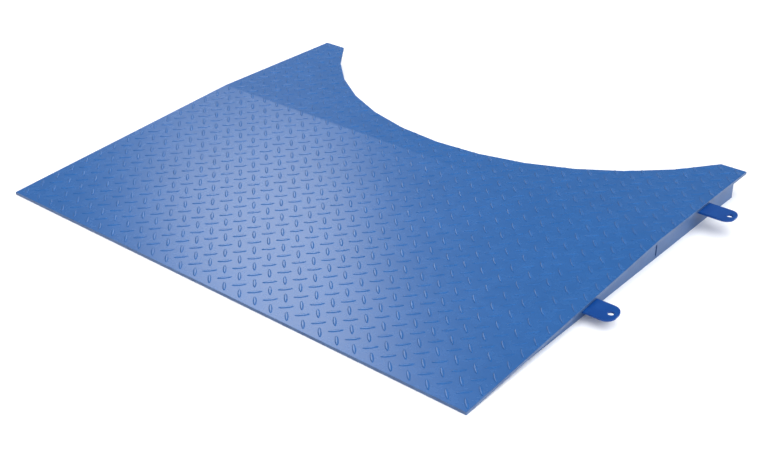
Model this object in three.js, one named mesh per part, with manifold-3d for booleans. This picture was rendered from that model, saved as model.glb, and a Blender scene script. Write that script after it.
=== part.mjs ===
// Folding loading ramp: a low tread plate ramp with a round scoop in its rear edge.
// Units are millimetres, +Z is up, +Y runs from the toe to the scoop, +X is the lug side.
import * as THREE from 'three';
import { mergeVertices } from 'three/addons/utils/BufferGeometryUtils.js';
import Module from 'manifold-3d';

// ---- driving dimensions -------------------------------------------------------------
const WIDTH = 1219.2;           // across the toe
const SLOPE_RUN = 635;          // toe to crest
const LEVEL_RUN = 381;          // crest to rear edge
const HEIGHT = 50.8;            // floor to the level deck
const PLATE = 6.35;             // deck and skirt plate
const BAR = 4.76;               // ribs, stringers and lugs
const GAP = 0.3;                // clearance left at every welded joint

const SCOOP_RADIUS = 647.7;     // corners of the flats that make up the scoop
const SCOOP_SETBACK = 342.9;    // scoop centre beyond the rear edge
const SCOOP_FLATS = 12;

const SKIRT_INSET = 9.5;        // deck edge to the skirt's outer face
const SKIRT_NOSE = 60;          // toe to the start of skirts and stringers
const SKIRT_TAIL = 38.1;        // skirt end to the rear edge
const SLOT_Y = 642.6;           // tab slot in each skirt, just behind the crest
const SLOT_Z = [5.5, 36];

const STRINGER_X = [-406.4, -203.2, 0, 203.2, 406.4];
const RIB_LIFT = 3;             // clearance under the cross ribs
const MID_RIB_Y = 317.5;
const HORN_RIB_Y = 905;
const TAB_RECESS = 3;           // tab end below the skirt's outer face
const ARC_RIB_INSET = 25.4;     // scoop edge to the bars that follow it

const LUG_WIDTH = 50;
const LUG_CORNER = 20;
const LUG_ROOT_X = 555;         // inner end, under the deck
const LUG_HOLE = 12.7;
const LUGS = [
  { name: 'lug_front', y: 379.5, tip: 667, holeX: 653 },
  { name: 'lug_rear', y: 823, tip: 679, holeX: 665.5 },
];

// ---- derived ------------------------------------------------------------------------
const LENGTH = SLOPE_RUN + LEVEL_RUN;
const UNDER = HEIGHT - PLATE;
const SLOPE = UNDER / SLOPE_RUN;
const SKIRT_OUT = WIDTH / 2 - SKIRT_INSET;
const SKIRT_IN = SKIRT_OUT - PLATE;
const SKIRT_END = LENGTH - SKIRT_TAIL;
const SCOOP_Y = LENGTH + SCOOP_SETBACK;
const SCOOP_HALF = Math.acos(SCOOP_SETBACK / SCOOP_RADIUS);
const MIDDLE_X = (LUGS[1].tip - WIDTH / 2) / 2;

const wasm = await Module();
wasm.setup();

// ---- helpers ------------------------------------------------------------------------
// Height of the deck's underside at a distance y from the toe.
function underside(y) {
  return y < SLOPE_RUN ? SLOPE * y : UNDER;
}

// Closed outline from [u, v] pairs, with optional holes.
function outline(points, holes = []) {
  const shape = new THREE.Shape(points.map(([u, v]) => new THREE.Vector2(u, v)));
  for (const hole of holes) {
    shape.holes.push(hole);
  }
  return shape;
}

// Plate standing along Y: the outline is drawn in Y and Z, thickness runs from x0 along +X.
function plateAlongY(shape, x0, thickness) {
  const geometry = new THREE.ExtrudeGeometry(shape, { depth: thickness, bevelEnabled: false });
  const turn = new THREE.Matrix4().makeBasis(
    new THREE.Vector3(0, 1, 0),
    new THREE.Vector3(0, 0, 1),
    new THREE.Vector3(1, 0, 0),
  );
  geometry.applyMatrix4(turn);
  geometry.translate(x0, 0, 0);
  return geometry;
}

// Plate standing along X: the outline is drawn in X and Z, thickness is centred on y0.
function plateAlongX(shape, y0, thickness) {
  const geometry = new THREE.ExtrudeGeometry(shape, { depth: thickness, bevelEnabled: false });
  geometry.rotateX(Math.PI / 2);
  geometry.translate(0, y0 + thickness / 2, 0);
  return geometry;
}

// Prism with the outline drawn in X and Y, from z0 upwards.
function prism(shape, z0, height) {
  const geometry = new THREE.ExtrudeGeometry(shape, {
    depth: height,
    bevelEnabled: false,
    curveSegments: 10,
  });
  geometry.translate(0, 0, z0);
  return geometry;
}

function toSolid(geometry) {
  const clean = geometry.clone();
  clean.deleteAttribute('normal');
  clean.deleteAttribute('uv');
  const merged = mergeVertices(clean, 1e-4);
  return new wasm.Manifold(new wasm.Mesh({
    numProp: 3,
    vertProperties: new Float32Array(merged.attributes.position.array),
    triVerts: new Uint32Array(merged.index.array),
  }));
}

function toGeometry(solid) {
  const mesh = solid.getMesh();
  const geometry = new THREE.BufferGeometry();
  geometry.setAttribute('position', new THREE.BufferAttribute(new Float32Array(mesh.vertProperties), 3));
  geometry.setIndex(new THREE.BufferAttribute(new Uint32Array(mesh.triVerts), 1));
  geometry.computeVertexNormals();
  return geometry;
}

// Corner points of the scoop's flats, moved outwards (away from the scoop centre) by grow.
function scoopCorners(grow) {
  const flatAngle = SCOOP_HALF / SCOOP_FLATS;
  const radius = SCOOP_RADIUS + grow / Math.cos(flatAngle);
  const corners = [];
  for (let i = 0; i <= SCOOP_FLATS; i += 1) {
    const angle = -SCOOP_HALF + (2 * SCOOP_HALF * i) / SCOOP_FLATS;
    corners.push([radius * Math.sin(angle), SCOOP_Y - radius * Math.cos(angle)]);
  }
  return corners;
}

// Tall prism filling the scoop out to grow beyond its flats.
function scoopTool(grow) {
  const corners = scoopCorners(grow);
  const left = corners[0][0];
  const right = corners[SCOOP_FLATS][0];
  const shape = outline([...corners, [right, SCOOP_Y], [left, SCOOP_Y]]);
  return toSolid(prism(shape, -10, HEIGHT + 30));
}

function rectangleHole(u0, u1, v0, v1) {
  const path = new THREE.Path();
  path.moveTo(u0, v0);
  path.lineTo(u0, v1);
  path.lineTo(u1, v1);
  path.lineTo(u1, v0);
  path.closePath();
  return path;
}

// ---- sub-parts ----------------------------------------------------------------------
function deckPlate() {
  const side = outline([
    [0, 0],
    [SLOPE_RUN, UNDER],
    [LENGTH, UNDER],
    [LENGTH, HEIGHT],
    [SLOPE_RUN, HEIGHT],
    [0, PLATE],
  ]);
  const blank = toSolid(plateAlongY(side, -WIDTH / 2, WIDTH));
  return toGeometry(blank.subtract(scoopTool(0)));
}

// Tapered outline shared by skirts and stringers, under the deck from y0 to y1.
function taperPoints(y0, y1) {
  return [
    [y0, 0],
    [y1, 0],
    [y1, UNDER - GAP],
    [SLOPE_RUN, UNDER - GAP],
    [y0, underside(y0) - GAP],
  ];
}

function skirt(side) {
  const half = BAR / 2 + GAP;
  const slot = rectangleHole(SLOT_Y - half, SLOT_Y + half, SLOT_Z[0], SLOT_Z[1]);
  const shape = outline(taperPoints(SKIRT_NOSE, SKIRT_END), [slot]);
  const x0 = side > 0 ? SKIRT_IN : -SKIRT_OUT;
  return toSolid(plateAlongY(shape, x0, PLATE));
}

// Skirt on the lug side, notched along its top edge where the lugs pass through.
function lugSkirt() {
  let solid = skirt(1);
  for (const lug of LUGS) {
    solid = solid.subtract(lugBlank(lug, GAP));
  }
  return solid;
}

// Height at which stringers and cross ribs change over in their half-lap joint.
function lapHeight(ribY) {
  return RIB_LIFT + (underside(ribY) - RIB_LIFT) / 2;
}

function stringer(x) {
  const half = BAR / 2 + GAP;
  let solid = toSolid(plateAlongY(outline(taperPoints(SKIRT_NOSE, LENGTH)), x - BAR / 2, BAR));
  solid = solid.subtract(scoopTool(ARC_RIB_INSET + BAR + GAP));
  for (const ribY of [MID_RIB_Y, SLOT_Y]) {
    const box = new THREE.BoxGeometry(4 * BAR, 2 * half, 100);
    box.translate(x, ribY, 50 + lapHeight(ribY));
    solid = solid.subtract(toSolid(box));
  }
  return toGeometry(solid);
}

// Cross rib on edge, slotted from below over every stringer.
function crossRib(ribY, halfSpan, tab) {
  const top = underside(ribY - BAR / 2) - GAP;
  const half = BAR / 2 + GAP;
  const points = [[-halfSpan, RIB_LIFT]];
  for (const x of STRINGER_X) {
    points.push([x - half, RIB_LIFT]);
    points.push([x - half, lapHeight(ribY) + GAP]);
    points.push([x + half, lapHeight(ribY) + GAP]);
    points.push([x + half, RIB_LIFT]);
  }
  points.push([halfSpan, RIB_LIFT]);
  if (tab) {
    points.push([halfSpan, SLOT_Z[0] + GAP]);
    points.push([tab, SLOT_Z[0] + GAP]);
    points.push([tab, SLOT_Z[1] - GAP]);
    points.push([halfSpan, SLOT_Z[1] - GAP]);
  }
  points.push([halfSpan, top]);
  points.push([-halfSpan, top]);
  if (tab) {
    points.push([-halfSpan, SLOT_Z[1] - GAP]);
    points.push([-tab, SLOT_Z[1] - GAP]);
    points.push([-tab, SLOT_Z[0] + GAP]);
    points.push([-halfSpan, SLOT_Z[0] + GAP]);
  }
  return plateAlongX(outline(points), ribY, BAR);
}

// Straight bar set back from one flat of the scoop, mitred at both ends, level with the skirts.
function arcRib(index) {
  const near = scoopCorners(ARC_RIB_INSET);
  const far = scoopCorners(ARC_RIB_INSET + BAR);
  const ends = [near[index], near[index + 1], far[index + 1], far[index]];
  const corners = ends.map(([u, v]) => new THREE.Vector2(u, v));
  const trim = corners[1].clone().sub(corners[0]).setLength(GAP / 2);
  corners[0].add(trim);
  corners[3].add(trim);
  corners[1].sub(trim);
  corners[2].sub(trim);
  const bar = toSolid(prism(new THREE.Shape(corners), 0, UNDER - GAP));
  const box = new THREE.BoxGeometry(2 * WIDTH, LENGTH, 4 * HEIGHT);
  box.translate(0, SKIRT_END - LENGTH / 2, 0);
  return toGeometry(bar.intersect(toSolid(box)));
}

// Short rib between the scoop's bars and a skirt, under one rear horn of the deck.
function hornRib(side) {
  const shape = outline([
    [side * 400, RIB_LIFT],
    [side * (SKIRT_IN - GAP), RIB_LIFT],
    [side * (SKIRT_IN - GAP), UNDER - GAP],
    [side * 400, UNDER - GAP],
  ]);
  const solid = toSolid(plateAlongX(shape, HORN_RIB_Y, BAR));
  return toGeometry(solid.subtract(scoopTool(ARC_RIB_INSET + BAR + GAP)));
}

// Flat bar lying against the deck's underside; grow makes the notch tool for the skirt.
function lugBlank(lug, grow) {
  const r = LUG_CORNER;
  const low = -LUG_WIDTH / 2 - grow;
  const high = LUG_WIDTH / 2 + grow;
  const shape = new THREE.Shape();
  shape.moveTo(LUG_ROOT_X, low);
  shape.lineTo(lug.tip - r, low);
  shape.absarc(lug.tip - r, low + r, r, -Math.PI / 2, 0, false);
  shape.absarc(lug.tip - r, high - r, r, 0, Math.PI / 2, false);
  shape.lineTo(LUG_ROOT_X, high);
  shape.closePath();
  if (grow === 0) {
    const hole = new THREE.Path();
    hole.absarc(lug.holeX, 0, LUG_HOLE / 2, 0, 2 * Math.PI, true);
    shape.holes.push(hole);
  }
  const bottom = -GAP - BAR - grow;
  const top = grow === 0 ? -GAP : PLATE;
  const geometry = prism(shape, bottom, top - bottom);
  if (lug.y < SLOPE_RUN) {
    geometry.rotateX(Math.atan(SLOPE));
  }
  geometry.translate(0, lug.y, underside(lug.y));
  return toSolid(geometry);
}

// ---- assembly -----------------------------------------------------------------------
function paintedSteel(name, colour) {
  return new THREE.MeshStandardMaterial({ name, color: colour, roughness: 0.4, metalness: 0 });
}

const root = new THREE.Group();
root.name = 'folding_loading_ramp';

function addPart(name, geometry, slot, colour) {
  geometry.translate(-MIDDLE_X, -LENGTH / 2, 0);
  const mesh = new THREE.Mesh(geometry, paintedSteel(slot, colour));
  mesh.name = name;
  root.add(mesh);
}

const DECK_BLUE = 0x3e6eb0;
const SKIRT_BLUE = 0x5f7db4;
const RIB_BLUE = 0x35609c;
const LUG_BLUE = 0x1c4b9b;

addPart('deck_plate', deckPlate(), 'painted_tread_plate', DECK_BLUE);
addPart('skirt_left', toGeometry(skirt(-1)), 'painted_skirt', SKIRT_BLUE);
addPart('skirt_right', toGeometry(lugSkirt()), 'painted_skirt', SKIRT_BLUE);
STRINGER_X.forEach((x, index) => {
  addPart(`stringer_${index + 1}`, stringer(x), 'painted_frame', RIB_BLUE);
});
addPart('cross_rib_mid', crossRib(MID_RIB_Y, SKIRT_IN - GAP, 0), 'painted_frame', RIB_BLUE);
addPart('cross_rib_crest', crossRib(SLOT_Y, SKIRT_IN - GAP, SKIRT_OUT - TAB_RECESS), 'painted_frame', RIB_BLUE);
for (let index = 0; index < SCOOP_FLATS; index += 1) {
  addPart(`arc_rib_${index + 1}`, arcRib(index), 'painted_frame', RIB_BLUE);
}
addPart('horn_rib_left', hornRib(-1), 'painted_frame', RIB_BLUE);
addPart('horn_rib_right', hornRib(1), 'painted_frame', RIB_BLUE);
for (const lug of LUGS) {
  addPart(lug.name, toGeometry(lugBlank(lug, 0)), 'painted_lug', LUG_BLUE);
}

export default root;
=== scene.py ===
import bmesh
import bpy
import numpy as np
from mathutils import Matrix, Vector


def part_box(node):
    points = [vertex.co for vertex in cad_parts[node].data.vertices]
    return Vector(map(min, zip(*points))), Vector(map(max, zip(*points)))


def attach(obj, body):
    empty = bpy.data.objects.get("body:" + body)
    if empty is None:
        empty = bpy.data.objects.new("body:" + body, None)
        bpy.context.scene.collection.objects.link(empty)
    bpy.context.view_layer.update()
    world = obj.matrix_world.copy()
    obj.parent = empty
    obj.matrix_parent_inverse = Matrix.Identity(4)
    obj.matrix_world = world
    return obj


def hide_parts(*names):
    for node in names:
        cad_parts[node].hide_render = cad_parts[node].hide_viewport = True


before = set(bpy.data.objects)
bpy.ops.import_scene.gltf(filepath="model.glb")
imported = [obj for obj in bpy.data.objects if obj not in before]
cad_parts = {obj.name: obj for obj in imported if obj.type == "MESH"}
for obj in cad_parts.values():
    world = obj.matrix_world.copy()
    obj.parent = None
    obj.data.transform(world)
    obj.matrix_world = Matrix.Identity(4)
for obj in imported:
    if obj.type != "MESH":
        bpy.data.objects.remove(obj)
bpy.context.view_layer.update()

# %% [markdown]
# # A tread plate loading ramp
# This lesson dresses a small steel loading ramp. The real one is a weldment: a sheet of
# rolled floor plate is sheared and bent once, two side skirts and a grid of flat bars are
# welded under it, and the whole thing is sprayed with blue enamel. The solids of every
# plate are already loaded, so the work here is what a solid model leaves out: the raised
# pattern, the eased edges of cut plate, the weld stitches, the paint and the light.

MM = 0.001

deck_low, deck_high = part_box("deck_plate")
middle_x = (deck_low.x + deck_high.x) / 2
toe_y = deck_low.y
WIDTH = (deck_high.x - deck_low.x) / MM
LENGTH = (deck_high.y - deck_low.y) / MM
HEIGHT = (deck_high.z - deck_low.z) / MM

PLATE = 6.35            # thickness of the floor plate and the skirts
BAR = 4.76              # thickness of the flat bars and lugs
CREST = 635.0           # toe to the bend
UNDER = HEIGHT - PLATE  # height of the level deck's lower face
SLOPE = UNDER / CREST
SKIRT_INSET = 9.5       # deck edge to the outer face of a skirt
SCOOP_RADIUS = 647.7
SCOOP_SETBACK = 342.9   # scoop centre, beyond the rear edge
SCOOP_CENTRE_Y = LENGTH + SCOOP_SETBACK
SCOOP_FLATS = 12
BAR_PLACES = (-406.4, -203.2, 0.0, 203.2, 406.4)    # lengthwise bars, from the middle
RIB_PLACES = (317.5, 642.6)                         # cross ribs, from the toe
print(f"deck {WIDTH:.1f} x {LENGTH:.1f} x {HEIGHT:.1f} mm")


def place(points):
    """Points in ramp millimetres (x from the middle, y from the toe) as metres in the frame."""
    points = np.asarray(points, float)
    return points * MM + np.array([middle_x, toe_y, 0.0])


def underside(y):
    """Height of the deck's lower face: a straight climb to the bend, then level."""
    return np.minimum(np.asarray(y, float) * SLOPE, UNDER)


# %% [markdown]
# ## A place to keep new pieces
# Every piece is one mesh whose points already stand where they belong, so its object stays
# at the origin. Arrays go into the mesh in one call, which is quicker than adding vertices
# one at a time. Faces meeting at more than 30 degrees keep a hard edge and all others are
# shaded round, as on pressed and cut steel.

# %% Mesh helpers
def shade(mesh, angle_deg=30.0):
    """Smooth faces everywhere, with edges sharper than the angle left crisp."""
    mesh.polygons.foreach_set("use_smooth", np.ones(len(mesh.polygons), bool))
    mesh.set_sharp_from_angle(angle=np.radians(angle_deg))


def add_piece(name, mesh, materials, replaces=()):
    """Link a mesh as a piece that rides on the ramp and stands for the named solids."""
    piece = bpy.data.objects.new(name, mesh)
    bpy.context.scene.collection.objects.link(piece)
    for material in materials:
        mesh.materials.append(material)
    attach(piece, "root")
    for node_name in replaces:
        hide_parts(node_name)
    print(f"{name}: {len(mesh.vertices)} points, {len(mesh.polygons)} faces")
    return piece


# %% [markdown]
# ## Paint helpers
# Colours are written as the hex values a paint chart gives, and one function turns them to
# the linear light that the renderer adds up. A second function adds one node to a material
# with its settings and links, which keeps each recipe below readable from top to bottom.

# %% Colour and node helpers
def linear(hex_colour):
    """sRGB hex to linear RGBA: each channel is divided by 12.92 near black, else the 2.4 power."""
    srgb = np.array([int(hex_colour[i:i + 2], 16) for i in (0, 2, 4)]) / 255.0
    light = np.where(srgb <= 0.04045, srgb / 12.92, ((srgb + 0.055) / 1.055) ** 2.4)
    return (*light.tolist(), 1.0)


def add_node(tree, kind, links=None, **settings):
    """One node: plain settings are attributes, or input values when the name is an input."""
    made = tree.nodes.new(kind)
    for key, value in settings.items():
        if hasattr(made, key):
            setattr(made, key, value)
        else:
            made.inputs[key.replace("_", " ")].default_value = value
    for socket, source in (links or {}).items():
        tree.links.new(source, made.inputs[socket])
    return made


# %% [markdown]
# ## Sprayed blue enamel
# The ramp is finished in one coat of semi-gloss alkyd enamel over hot-rolled steel. To the
# eye that is a saturated mid blue with a soft, wide highlight, a faint orange peel left by
# the spray gun, slow waves from the rolled plate below, and small shifts in gloss where the
# coat went on thicker. Where feet, wheels and straps rub, the gloss is polished and the
# blue goes a little paler. The recipe is one function, because every piece had the same
# gun pass over it: only the shade and the amount of rubbing change.

# %% Enamel recipe
ORANGE_PEEL = 3.0       # mm from crest to crest of the spray texture, drawn coarse enough to show
PLATE_WAVE = 140.0      # mm, the slow unevenness of rolled plate
GLOSS_PATCH = 22.0      # mm, patches where the coat is thicker
SHADE_SHIFT = 0.025     # share by which the blue lightens and darkens
GLOSS_SHIFT = 0.012     # how far roughness wanders either way
WAVE_DEPTH = 1.0        # mm, at a bump strength of 0.05
PEEL_DEPTH = 0.12       # mm


def enamel(name, body_hex, pale_hex, roughness, rubbed=0.0, crown=None, peel=0.12, level=0.5):
    """Blue mixed towards a paler one by patchy noise times rubbing; noise moves gloss and height too."""
    material = bpy.data.materials.new(name)
    material.use_nodes = True
    tree = material.node_tree
    tree.nodes.clear()
    where = add_node(tree, "ShaderNodeTexCoord").outputs["Object"]
    wave = add_node(tree, "ShaderNodeTexNoise", {"Vector": where},
                    Scale=1 / (PLATE_WAVE * MM), Detail=2.0, Roughness=0.4)
    patch = add_node(tree, "ShaderNodeTexNoise", {"Vector": where},
                     Scale=1 / (GLOSS_PATCH * MM), Detail=4.0, Roughness=0.55)
    speck = add_node(tree, "ShaderNodeTexNoise", {"Vector": where},
                     Scale=1 / (ORANGE_PEEL * MM), Detail=2.0, Roughness=0.5)
    rub = add_node(tree, "ShaderNodeMapRange", {"Value": patch.outputs["Fac"]},
                   From_Min=0.42, From_Max=0.62, To_Min=0.0, To_Max=rubbed)
    amount = rub.outputs["Result"]
    if crown:
        height = add_node(tree, "ShaderNodeAttribute", attribute_name=crown)
        amount = add_node(tree, "ShaderNodeMath", {0: amount, 1: height.outputs["Fac"]},
                          operation="MULTIPLY").outputs["Value"]
    shift = add_node(tree, "ShaderNodeMapRange", {"Value": wave.outputs["Fac"]},
                     From_Min=0.3, From_Max=0.7,
                     To_Min=1 - SHADE_SHIFT, To_Max=1 + SHADE_SHIFT)
    body = add_node(tree, "ShaderNodeMix", {"Factor": amount}, data_type="RGBA")
    # On a mix node sockets 6 and 7 are the two colours, and output 2 is the mixed one.
    body.inputs[6].default_value = linear(body_hex)
    body.inputs[7].default_value = linear(pale_hex)
    tone = add_node(tree, "ShaderNodeHueSaturation",
                    {"Color": body.outputs[2], "Value": shift.outputs["Result"]})
    gloss = add_node(tree, "ShaderNodeMapRange", {"Value": patch.outputs["Fac"]},
                     From_Min=0.3, From_Max=0.7,
                     To_Min=roughness - GLOSS_SHIFT, To_Max=roughness + GLOSS_SHIFT)
    slow = add_node(tree, "ShaderNodeBump", {"Height": wave.outputs["Fac"]},
                    Strength=0.05, Distance=WAVE_DEPTH * MM)
    fine = add_node(tree, "ShaderNodeBump",
                    {"Height": speck.outputs["Fac"], "Normal": slow.outputs["Normal"]},
                    Strength=peel, Distance=PEEL_DEPTH * MM)
    paint = add_node(tree, "ShaderNodeBsdfPrincipled",
                     {"Base Color": tone.outputs["Color"], "Roughness": gloss.outputs["Result"],
                      "Normal": fine.outputs["Normal"]},
                     IOR=1.5, Specular_IOR_Level=level)
    add_node(tree, "ShaderNodeOutputMaterial", {"Surface": paint.outputs["BSDF"]})
    print(f"material {name}")
    return material


# Over rolled floor plate: the smoothest coat, a full blue with a soft wide highlight.
deck_enamel = enamel("enamel_on_floor_plate", "1E5592", "2F68AA", 0.27, rubbed=0.12)
# The same coat on the raised lugs, a little glossier and paler where crowns are walked on.
tread_enamel = enamel("enamel_on_raised_tread", "1E5592", "3A74B8", 0.24, rubbed=0.2, crown="crown")
# A rougher coat on the deck's sheared rim and upright faces, with scuffs: a quiet greyish line
# round the deck, whose greyer shade is painted light for how light falls on those faces.
rim_enamel_painted_greyer = enamel("rim_enamel_with_painted_light", "33507C", "48668F", 0.36, rubbed=0.5)
# A flatter coat on upright side plates, scuffed and softly mirroring the floor; its greyer,
# paler blue is painted light, standing in for the light the upright faces catch from the floor.
skirt_enamel_painted_paler = enamel("skirt_enamel_with_painted_light", "2F517F", "3C5E8D", 0.40, rubbed=0.5)
# One quick pass over hot rolled bar: the least shine of all, seen only from below.
frame_enamel = enamel("enamel_on_flat_bar", "28569C", "4A78B8", 0.42, rubbed=0.2)
# The flat lugs: their deepest blue is painted shade, standing in for the shade under the deck
# edge, and a low specular level leaves hardly any highlight.
lug_enamel_painted_dark = enamel("lug_enamel_with_painted_shade", "0A3D82", "184F95", 0.30, rubbed=0.3, level=0.2)
# The coat over weld metal: its highlight is broken up by the ripples and spatter below.
weld_enamel = enamel("enamel_over_weld", "2A59A2", "4A78B8", 0.30, rubbed=0.2, peel=0.3)

# %% [markdown]
# ## Sheared plate with eased edges
# The loaded solids have perfectly sharp corners, and steel never does: a shear rolls one
# edge over and the paint rounds the rest, so every edge catches a thin line of light. Each
# plate is copied, its loose triangles are welded and the flat ones joined into whole faces,
# and a small bevel rounds the rims. The rims and upright faces of the floor plate take an
# enamel of their own, rougher than its rolled face and painted greyer: that greyer shade is
# painted light for how light falls on them. Copying keeps every cut and slot exactly where
# the solid has it, which redrawing the outline would not.

# %% Eased copies of the plates
PLATE_EASE = 0.6        # mm, rounding of sheared plate under paint
BAR_EASE = 0.5          # mm, rounding of rolled flat bar
FLAT_ENOUGH = 0.5       # degrees, below this two triangles are one flat face
SHARP_EDGE = 35.0       # degrees, above this an edge is rounded


def eased_copy(node_name, ease_mm, material, cut_rim=False):
    """Copy a solid, merge its triangles into flat faces and round every edge by ease_mm."""
    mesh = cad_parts[node_name].data.copy()
    mesh.name = f"{node_name}_eased"
    mesh.materials.clear()
    shell = bmesh.new()
    shell.from_mesh(mesh)
    bmesh.ops.remove_doubles(shell, verts=shell.verts, dist=0.02 * MM)
    bmesh.ops.dissolve_limit(
        shell, angle_limit=np.radians(FLAT_ENOUGH), verts=shell.verts, edges=shell.edges
    )
    shell.to_mesh(mesh)
    shell.free()
    coats = [material, rim_enamel_painted_greyer] if cut_rim else [material]
    piece = add_piece(f"{node_name}_painted", mesh, coats, [node_name])
    bevel = piece.modifiers.new("eased_edge", "BEVEL")
    bevel.width = ease_mm * MM
    bevel.segments = 2
    bevel.limit_method = "ANGLE"
    bevel.angle_limit = np.radians(SHARP_EDGE)
    # The rim enamel goes on the bevels and the upright faces; its greyer shade is painted light.
    bevel.material = 1 if cut_rim else 0
    if cut_rim:
        facing = np.empty(3 * len(mesh.polygons))
        mesh.polygons.foreach_get("normal", facing)
        upright = np.abs(facing[2::3]) < 0.5
        mesh.polygons.foreach_set("material_index", upright.astype(np.int32))
    shade(mesh)
    return piece


eased_copy("deck_plate", PLATE_EASE, deck_enamel, cut_rim=True)
# The skirts' enamel is painted paler and greyer, as painted light.
for skirt_name in ("skirt_left", "skirt_right"):
    eased_copy(skirt_name, PLATE_EASE, skirt_enamel_painted_paler)
# The lugs' enamel is darkened as painted shade.
for lug_name in ("lug_front", "lug_rear"):
    eased_copy(lug_name, PLATE_EASE, lug_enamel_painted_dark)
BAR_KINDS = ("stringer", "cross_rib", "arc", "horn")
bar_names = sorted(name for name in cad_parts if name.startswith(BAR_KINDS))
for bar_name in bar_names:
    eased_copy(bar_name, BAR_EASE, frame_enamel)

# %% [markdown]
# ## The raised tread pattern
# Floor plate is hot rolled between a plain roll and one with pockets cut in it, so every
# lug is the same: a long low lens, about 30 by 7.6 mm and 1.25 mm high, leaning 45 degrees
# one way and then the other on a 41 mm square grid. A bump map would lose the shape at low
# angles, so the lugs are real. One lug is five rings of twelve points, from a foot sunk just
# under the plate to a small domed crown that catches a bright speck. All the lugs are worked
# out together as one array: pattern centre, plus turn, plus ring. The pattern was rolled
# before the plate was cut and bent, so it runs over the bend and stops dead at the shear
# line: a lug centred on the plate is kept, and any point of it past an edge is slid back.

# %% Tread lugs
PITCH = 40.95           # grid of the pattern, both ways
LUG_LONG = 29.7
LUG_WIDE = 7.6
LUG_HIGH = 1.25
PATTERN_X = -263.6      # one lug centre, across from the middle
PATTERN_V = 304.9       # the same lug, up the plate from the toe
EDGE_KEEP = 2.0         # lugs stop this far inside a cut edge
LENS_THINNING = 0.22    # how much slimmer than an ellipse a lug is towards its points
MORE_THAN_ENOUGH = np.arange(-30, 40)               # rows and columns, before trimming
RING_POINTS = 12
LUG_RINGS = np.array([  # share of the length, share of the width, height
    [1.00, 1.00, -0.05],
    [0.95, 0.82, 0.40 * LUG_HIGH],
    [0.87, 0.63, 0.86 * LUG_HIGH],
    [0.80, 0.50, 0.95 * LUG_HIGH],
    [0.62, 0.26, LUG_HIGH],
])
RING_CROWN = [0.0, 0.3, 0.7, 0.9, 1.0]              # how much of the rubbing each ring gets


def plate_to_space(across, along, lift):
    """Plate distance from the toe to space: up the slope to the bend, then level, plus lift."""
    slope_length = np.hypot(CREST, UNDER)
    on_slope = along < slope_length
    y = np.where(on_slope, along * CREST / slope_length, along - slope_length + CREST)
    z = np.where(on_slope, PLATE + along * UNDER / slope_length, HEIGHT)
    tilt = np.where(on_slope, UNDER / slope_length, 0.0)
    return np.stack([across, y - tilt * lift, z + lift * np.sqrt(1 - tilt ** 2)], axis=-1)


def keep_on_deck(points):
    """Clip x and y to the plate, then push points out along their scoop flat's normal to clear it."""
    x = np.clip(points[..., 0], -WIDTH / 2 + EDGE_KEEP, WIDTH / 2 - EDGE_KEEP)
    y = np.clip(points[..., 1], EDGE_KEEP, LENGTH - EDGE_KEEP)
    half = np.arccos(SCOOP_SETBACK / SCOOP_RADIUS)
    flat_angle = 2 * half / SCOOP_FLATS
    reach = SCOOP_RADIUS * np.cos(flat_angle / 2) + EDGE_KEEP
    angle = np.arctan2(x, SCOOP_CENTRE_Y - y)
    flat = np.clip(np.floor((angle + half) / flat_angle), 0, SCOOP_FLATS - 1)
    facing = -half + (flat + 0.5) * flat_angle
    out_x, out_y = np.sin(facing), -np.cos(facing)
    push = np.maximum(reach - (x * out_x + (y - SCOOP_CENTRE_Y) * out_y), 0.0)
    return np.stack([x + push * out_x, y + push * out_y, points[..., 2]], axis=-1)


def tread_lugs():
    """Two square grids half a pitch apart; a ring is length by cosine and width by thinned sine."""
    steps = MORE_THAN_ENOUGH * PITCH
    grid_x, grid_v = np.meshgrid(PATTERN_X + steps, PATTERN_V + steps)
    first = np.stack([grid_x.ravel(), grid_v.ravel(), np.full(grid_x.size, -1.0)], axis=1)
    second = first + np.array([PITCH / 2, PITCH / 2, 2.0])
    centres = np.concatenate([first, second])
    spots = plate_to_space(centres[:, 0], centres[:, 1], 0.0)
    moved = np.linalg.norm(keep_on_deck(spots)[:, :2] - spots[:, :2], axis=1)
    centres = centres[moved < 1e-6]
    turn = np.linspace(0, 2 * np.pi, RING_POINTS, endpoint=False)
    lens_x = np.cos(turn)
    lens_y = np.sin(turn) * (1 - LENS_THINNING * np.cos(turn) ** 2)
    long = LUG_RINGS[:, 0, None] * lens_x * LUG_LONG / 2
    wide = LUG_RINGS[:, 1, None] * lens_y * LUG_WIDE / 2
    lean = centres[:, 2, None, None]
    across = centres[:, 0, None, None] + (long - lean * wide) / np.sqrt(2)
    along = centres[:, 1, None, None] + (lean * long + wide) / np.sqrt(2)
    lift = np.broadcast_to(LUG_RINGS[:, 2, None], across.shape)
    points = keep_on_deck(plate_to_space(across, along, lift))
    return points, len(centres)


lug_points, lug_count = tread_lugs()
top_ring = len(LUG_RINGS) - 1
here = np.arange(RING_POINTS)
after = (here + 1) % RING_POINTS
band = np.stack([here, after, after + RING_POINTS, here + RING_POINTS], axis=1)
quads = np.concatenate([band + RING_POINTS * ring for ring in range(top_ring)])
base_cap = here[::-1]
top_cap = here + RING_POINTS * top_ring
starts = np.arange(lug_count)[:, None] * len(LUG_RINGS) * RING_POINTS
faces = [
    *(quads[None] + starts[:, :, None]).reshape(-1, 4).tolist(),
    *(base_cap[None] + starts).tolist(),
    *(top_cap[None] + starts).tolist(),
]
tread_mesh = bpy.data.meshes.new("raised_tread")
tread_mesh.from_pydata(place(lug_points.reshape(-1, 3)).tolist(), [], faces)
crown = tread_mesh.attributes.new("crown", "FLOAT", "POINT")
one_lug = np.repeat(RING_CROWN, RING_POINTS)
crown.data.foreach_set("value", np.tile(one_lug, lug_count).astype(np.float32))
shade(tread_mesh, 60.0)
add_piece("raised_tread", tread_mesh, [tread_enamel])
print(f"{lug_count} tread lugs")

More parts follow.
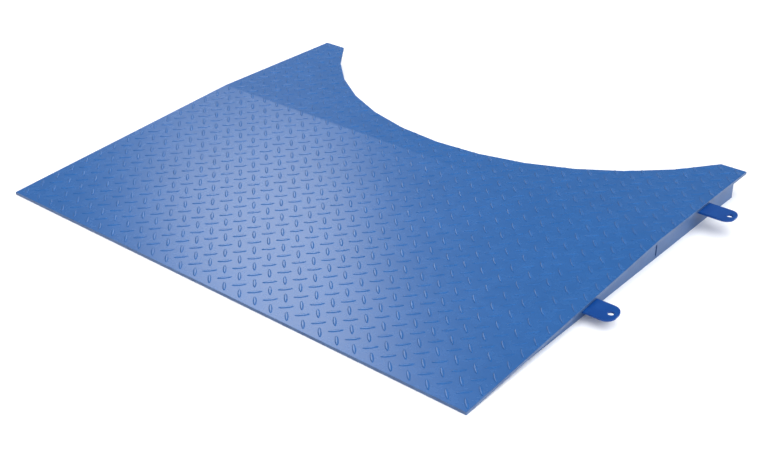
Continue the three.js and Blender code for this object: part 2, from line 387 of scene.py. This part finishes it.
# %% [markdown]
# ## Weld stitches
# Plates this thin would pull out of shape under a full-length weld, so a fabricator lays
# short stitches with gaps between. A stitch fills the corner between two plates: its
# section is a quarter round with a flattened face, its length shows the ripples of the torch
# pausing, and both ends fade to nothing. Carrying that section along a straight path in
# numpy gives a whole stitch as one small grid, so a hundred of them cost little.

# %% Weld stitches
STITCH = 34.0           # length of one stitch
LEG = 3.2               # how far a stitch reaches up each plate
RIPPLE = 2.4            # distance between torch pauses
RIPPLE_DEPTH = 0.10     # share of the leg that a ripple adds or takes away
END_FADE = 0.35         # power of the sine that fades the ends: lower is blunter
END_SIZE = 0.12         # share of the leg left at each end, and sunk behind the face
FACE_DIP = 0.22         # how far the face lies inside a full quarter circle
SLOPE_STARTS = np.arange(110, 600, 120)             # where skirt stitches start on the slope
LEVEL_STARTS = (672.0, 760.0, 905.0)                # and on the level, clear of the rear lug
BAR_STARTS = (110, 230, 350, 470, 570)              # along each lengthwise bar
BAY_MIDDLES = (-500, -305, -102, 102, 305, 500)     # between the bars, on each cross rib
FRONT_LUG = (320, 410)                              # no stitch starts here on the lug side


def stitch(start, direction, wall, floor):
    """A flattened quarter circle, sized by ripples times a sine that fades both ends, along a line."""
    direction, wall, floor = (np.asarray(v, float) for v in (direction, wall, floor))
    t = np.linspace(0, 1, 15)
    ripples = 1 + RIPPLE_DEPTH * np.sin(2 * np.pi * t * STITCH / RIPPLE)
    swell = np.sin(np.pi * t) ** END_FADE * ripples
    size = LEG * np.maximum(swell, END_SIZE)
    angle = np.linspace(0, np.pi / 2, 5)
    reach = 1 - FACE_DIP * np.sin(2 * angle)
    arc = np.outer(np.cos(angle) * reach, wall) + np.outer(np.sin(angle) * reach, floor)
    root = -END_SIZE * (wall + floor)
    section = np.vstack([root, arc])
    path = np.asarray(start, float) + np.outer(t * STITCH, direction)
    return path[:, None, :] + size[:, None, None] * section[None]


DOWN = (0, 0, -1)
along_slope = np.array([0.0, CREST, UNDER]) / np.hypot(CREST, UNDER)
stitches = []
for side in (-1, 1):
    outer = side * (WIDTH / 2 - SKIRT_INSET)
    for face_x, away in ((outer, side), (outer - side * PLATE, -side)):
        for y in SLOPE_STARTS:
            clear_of_lug = side < 0 or not FRONT_LUG[0] < y < FRONT_LUG[1]
            if clear_of_lug:
                stitches.append(stitch((face_x, y, underside(y)), along_slope, DOWN, (away, 0, 0)))
        for y in LEVEL_STARTS:
            stitches.append(stitch((face_x, y, UNDER), (0, 1, 0), DOWN, (away, 0, 0)))
for bar_x in BAR_PLACES:
    for k, y in enumerate(BAR_STARTS):
        away = 1 if k % 2 else -1
        start = (bar_x + away * BAR / 2, y, underside(y))
        stitches.append(stitch(start, along_slope, DOWN, (away, 0, 0)))
for rib_y in RIB_PLACES:
    for bay_x in BAY_MIDDLES:
        for away in (-1, 1):
            y = rib_y + away * BAR / 2
            start = (bay_x - STITCH / 2, y, underside(y))
            stitches.append(stitch(start, (1, 0, 0), DOWN, (0, away, 0)))
print(f"{len(stitches)} weld stitches")

grids = np.stack(stitches)
rows, columns = grids.shape[1], grids.shape[2]
i, j = np.meshgrid(np.arange(rows - 1), np.arange(columns), indexing="ij")
step = (j + 1) % columns
near, far = i * columns, (i + 1) * columns
skin = np.stack([near + j, near + step, far + step, far + j], axis=-1).reshape(-1, 4)
first_cap = np.arange(columns)[::-1]
last_cap = np.arange(columns) + (rows - 1) * columns
offsets = np.arange(len(stitches))[:, None] * rows * columns
weld_faces = [
    *(skin[None] + offsets[:, :, None]).reshape(-1, 4).tolist(),
    *(first_cap[None] + offsets).tolist(),
    *(last_cap[None] + offsets).tolist(),
]
weld_mesh = bpy.data.meshes.new("weld_stitches")
weld_mesh.from_pydata(place(grids.reshape(-1, 3)).tolist(), [], weld_faces)
beads = bmesh.new()
beads.from_mesh(weld_mesh)
bmesh.ops.recalc_face_normals(beads, faces=beads.faces)
beads.to_mesh(weld_mesh)
beads.free()
shade(weld_mesh, 60.0)
add_piece("weld_stitches", weld_mesh, [weld_enamel])

# %% [markdown]
# ## Floor, light and camera
# A semi-gloss surface is drawn mostly by what it mirrors, so the light is planned from the
# ramp outwards. One soft panel stands high beyond the far left corner. The slope leans a
# few degrees towards the camera and throws the panel's light forward as a wide soft band,
# while the level deck beyond the bend sends it just too low to see. The main light is a
# broad overhead one, so wide that it leaves hardly any shadow; it is hidden from mirrored
# rays, so it brightens the blue without laying a grey veil over it. The surroundings are
# pale at the horizon and quieter above, and the floor is a plain pale sheet, so the upright
# skirts mirror something light and go paler than the deck; their enamel is also painted
# paler and greyer, as painted light for that same effect.

# %% Floor and surroundings
FLOOR_REACH = 60.0      # metres each way, so that no edge shows from a low camera
HORIZON_LIGHT = 1.05    # strength of the surroundings low down
HIGH_LIGHT = 0.30       # and high up, where the deck would mirror them
FADE_FROM = 0.06        # sine of the angle above level at which the fade starts
FADE_TO = 0.28

floor_corners = [(x * FLOOR_REACH, y * FLOOR_REACH, 0) for x, y in ((-1, -1), (1, -1), (1, 1), (-1, 1))]
floor_mesh = bpy.data.meshes.new("studio_floor")
floor_mesh.from_pydata(floor_corners, [], [(0, 1, 2, 3)])
floor = bpy.data.objects.new("studio_floor", floor_mesh)
bpy.context.scene.collection.objects.link(floor)
paper = bpy.data.materials.new("pale_studio_paper")
paper.use_nodes = True
paper_shader = paper.node_tree.nodes["Principled BSDF"]
paper_shader.inputs["Base Color"].default_value = linear("F4F5F7")
paper_shader.inputs["Roughness"].default_value = 0.9
paper_shader.inputs["Specular IOR Level"].default_value = 0.0
floor_mesh.materials.append(paper)

world = bpy.data.worlds.new("quiet_studio")
world.use_nodes = True
sky_tree = world.node_tree
direction = add_node(sky_tree, "ShaderNodeTexCoord").outputs["Generated"]
upward = add_node(sky_tree, "ShaderNodeSeparateXYZ", {"Vector": direction}).outputs["Z"]
fade = add_node(sky_tree, "ShaderNodeMapRange", {"Value": upward},
                From_Min=FADE_FROM, From_Max=FADE_TO,
                To_Min=HORIZON_LIGHT, To_Max=HIGH_LIGHT)
fade.interpolation_type = "SMOOTHSTEP"
air = sky_tree.nodes["Background"]
air.inputs["Color"].default_value = linear("F1F4F8")
sky_tree.links.new(fade.outputs["Result"], air.inputs["Strength"])
bpy.context.scene.world = world
bpy.context.scene.view_settings.view_transform = "Standard"


# %% Lights
def panel(name, azimuth_deg, elevation_deg, distance, wide, tall, watts):
    """A soft panel on a sphere round the ramp, facing it; azimuth runs from +Y towards -X."""
    azimuth, elevation = np.radians([azimuth_deg, elevation_deg])
    level = np.cos(elevation)
    towards = Vector((-np.sin(azimuth) * level, np.cos(azimuth) * level, np.sin(elevation)))
    lamp = bpy.data.lights.new(name, "AREA")
    lamp.shape = "RECTANGLE"
    lamp.size = wide
    lamp.size_y = tall
    lamp.energy = watts
    holder = bpy.data.objects.new(name, lamp)
    facing = towards.to_track_quat("Z", "Y").to_matrix().to_4x4()
    holder.matrix_world = Matrix.Translation(distance * towards) @ facing
    bpy.context.scene.collection.objects.link(holder)
    print(f"{name}: {watts} W")


panel("band_panel", azimuth_deg=53.5, elevation_deg=43, distance=6.0, wide=1.3, tall=2.6, watts=58)

OVERHEAD_STRENGTH = 4.15
OVERHEAD_WIDTH = 100    # degrees across, like an overcast sky, for soft shadows
OVERHEAD_TURN = 75      # degrees from the toe end round to the lug side
OVERHEAD_TIP = 32       # degrees from straight above
overhead = bpy.data.lights.new("broad_overhead", "SUN")
overhead.energy = OVERHEAD_STRENGTH
overhead.angle = np.radians(OVERHEAD_WIDTH)
overhead_holder = bpy.data.objects.new("broad_overhead", overhead)
turn_right = Matrix.Rotation(np.radians(OVERHEAD_TURN), 4, "Z")
tip_over = Matrix.Rotation(np.radians(OVERHEAD_TIP), 4, "X")
overhead_holder.matrix_world = turn_right @ tip_over
overhead_holder.visible_glossy = False
bpy.context.scene.collection.objects.link(overhead_holder)

# %% Camera
CAMERA_AT = np.array([1554.7, -1343.4, 1274.3])     # ramp millimetres, from the middle of the toe
FOCAL_LENGTH = 58.71    # mm on a 36 mm wide sensor: a short telephoto, so edges stay nearly parallel
HEADING = 39.808        # degrees, turned left from facing along the ramp
DIP = 29.256            # degrees below level
LEAN = -0.157           # degrees of roll
camera_data = bpy.data.cameras.new("camera")
camera_data.sensor_width = 36.0
camera_data.lens = FOCAL_LENGTH
camera = bpy.data.objects.new("camera", camera_data)
heading = Matrix.Rotation(np.radians(HEADING), 4, "Z")
dip = Matrix.Rotation(np.radians(90 - DIP), 4, "X")
lean = Matrix.Rotation(np.radians(LEAN), 4, "Z")
camera.matrix_world = Matrix.Translation(Vector(place(CAMERA_AT))) @ heading @ dip @ lean
bpy.context.scene.collection.objects.link(camera)
bpy.context.scene.camera = camera
